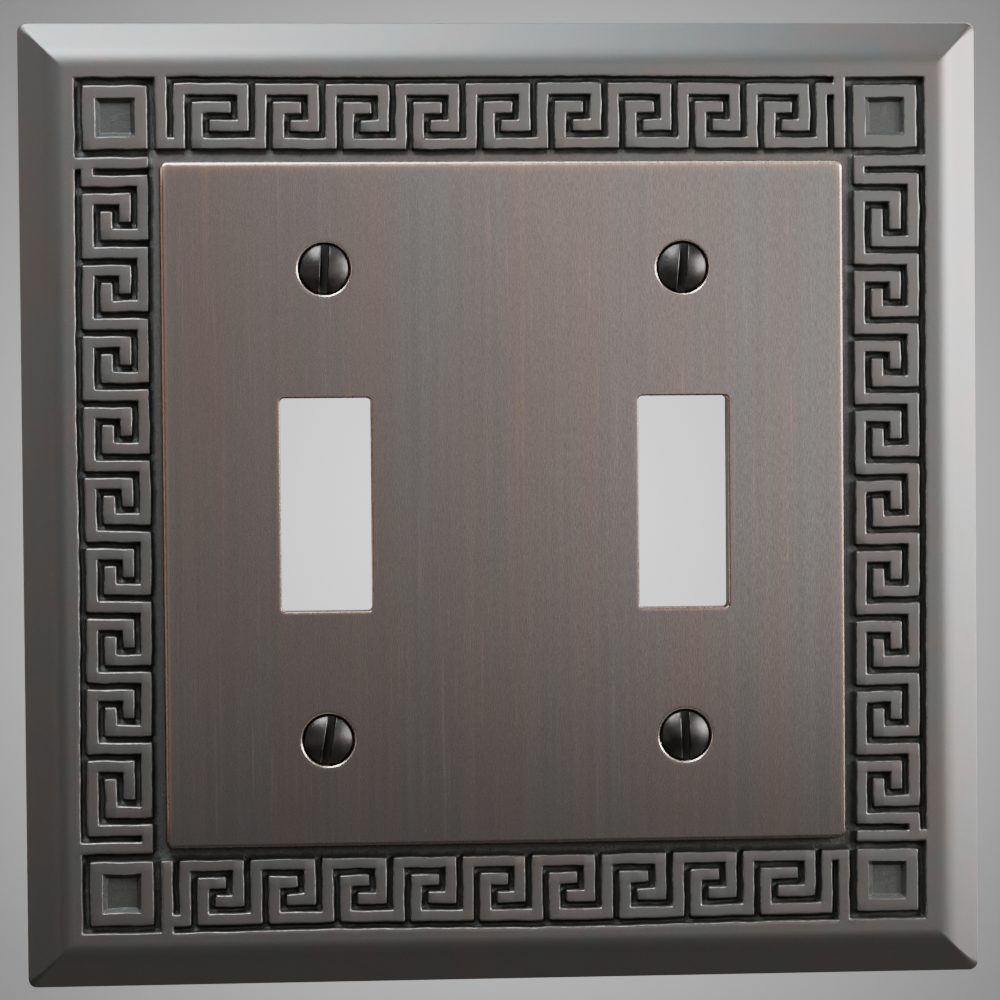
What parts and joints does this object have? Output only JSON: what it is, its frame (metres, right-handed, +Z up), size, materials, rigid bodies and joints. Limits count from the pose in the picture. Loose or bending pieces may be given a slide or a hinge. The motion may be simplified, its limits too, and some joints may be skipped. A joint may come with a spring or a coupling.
{
  "type": "two-gang toggle wall plate",
  "caption": "Square two-gang toggle switch cover plate with a raised centre panel, a Greek key border, bevelled edges and oval-head screws.",
  "frame": {"origin": "middle of the plate on the wall's surface, which is also the middle of the four screws", "axes": "+Z up, +X to the right as seen from the room, the decorated face towards -Y, the screw shanks along +Y into the wall"},
  "size_m": [0.1238, 0.0137, 0.1238],
  "materials": {
    "plate_bronze": "oil-rubbed bronze: vertically brushed brown-grey panel with copper showing at worn edges, near-black patina in the grooves",
    "screw_bronze": "dark bronze plated, semi-gloss"
  },
  "bodies": {
    "cover": {"plate": "plate_bronze"},
    "screw_upper_left_body": {"screw_upper_left": "screw_bronze"},
    "screw_upper_right_body": {"screw_upper_right": "screw_bronze"},
    "screw_lower_left_body": {"screw_lower_left": "screw_bronze"},
    "screw_lower_right_body": {"screw_lower_right": "screw_bronze"}
  },
  "joints": [
    {"name": "screw_upper_left_slide", "type": "slide", "parent": "cover", "child": "screw_upper_left_body", "axis": [0, -1, 0], "range_m": [0, 0.014]},
    {"name": "screw_upper_right_slide", "type": "slide", "parent": "cover", "child": "screw_upper_right_body", "axis": [0, -1, 0], "range_m": [0, 0.014]},
    {"name": "screw_lower_left_slide", "type": "slide", "parent": "cover", "child": "screw_lower_left_body", "axis": [0, -1, 0], "range_m": [0, 0.014]},
    {"name": "screw_lower_right_slide", "type": "slide", "parent": "cover", "child": "screw_lower_right_body", "axis": [0, -1, 0], "range_m": [0, 0.014]}
  ]
}
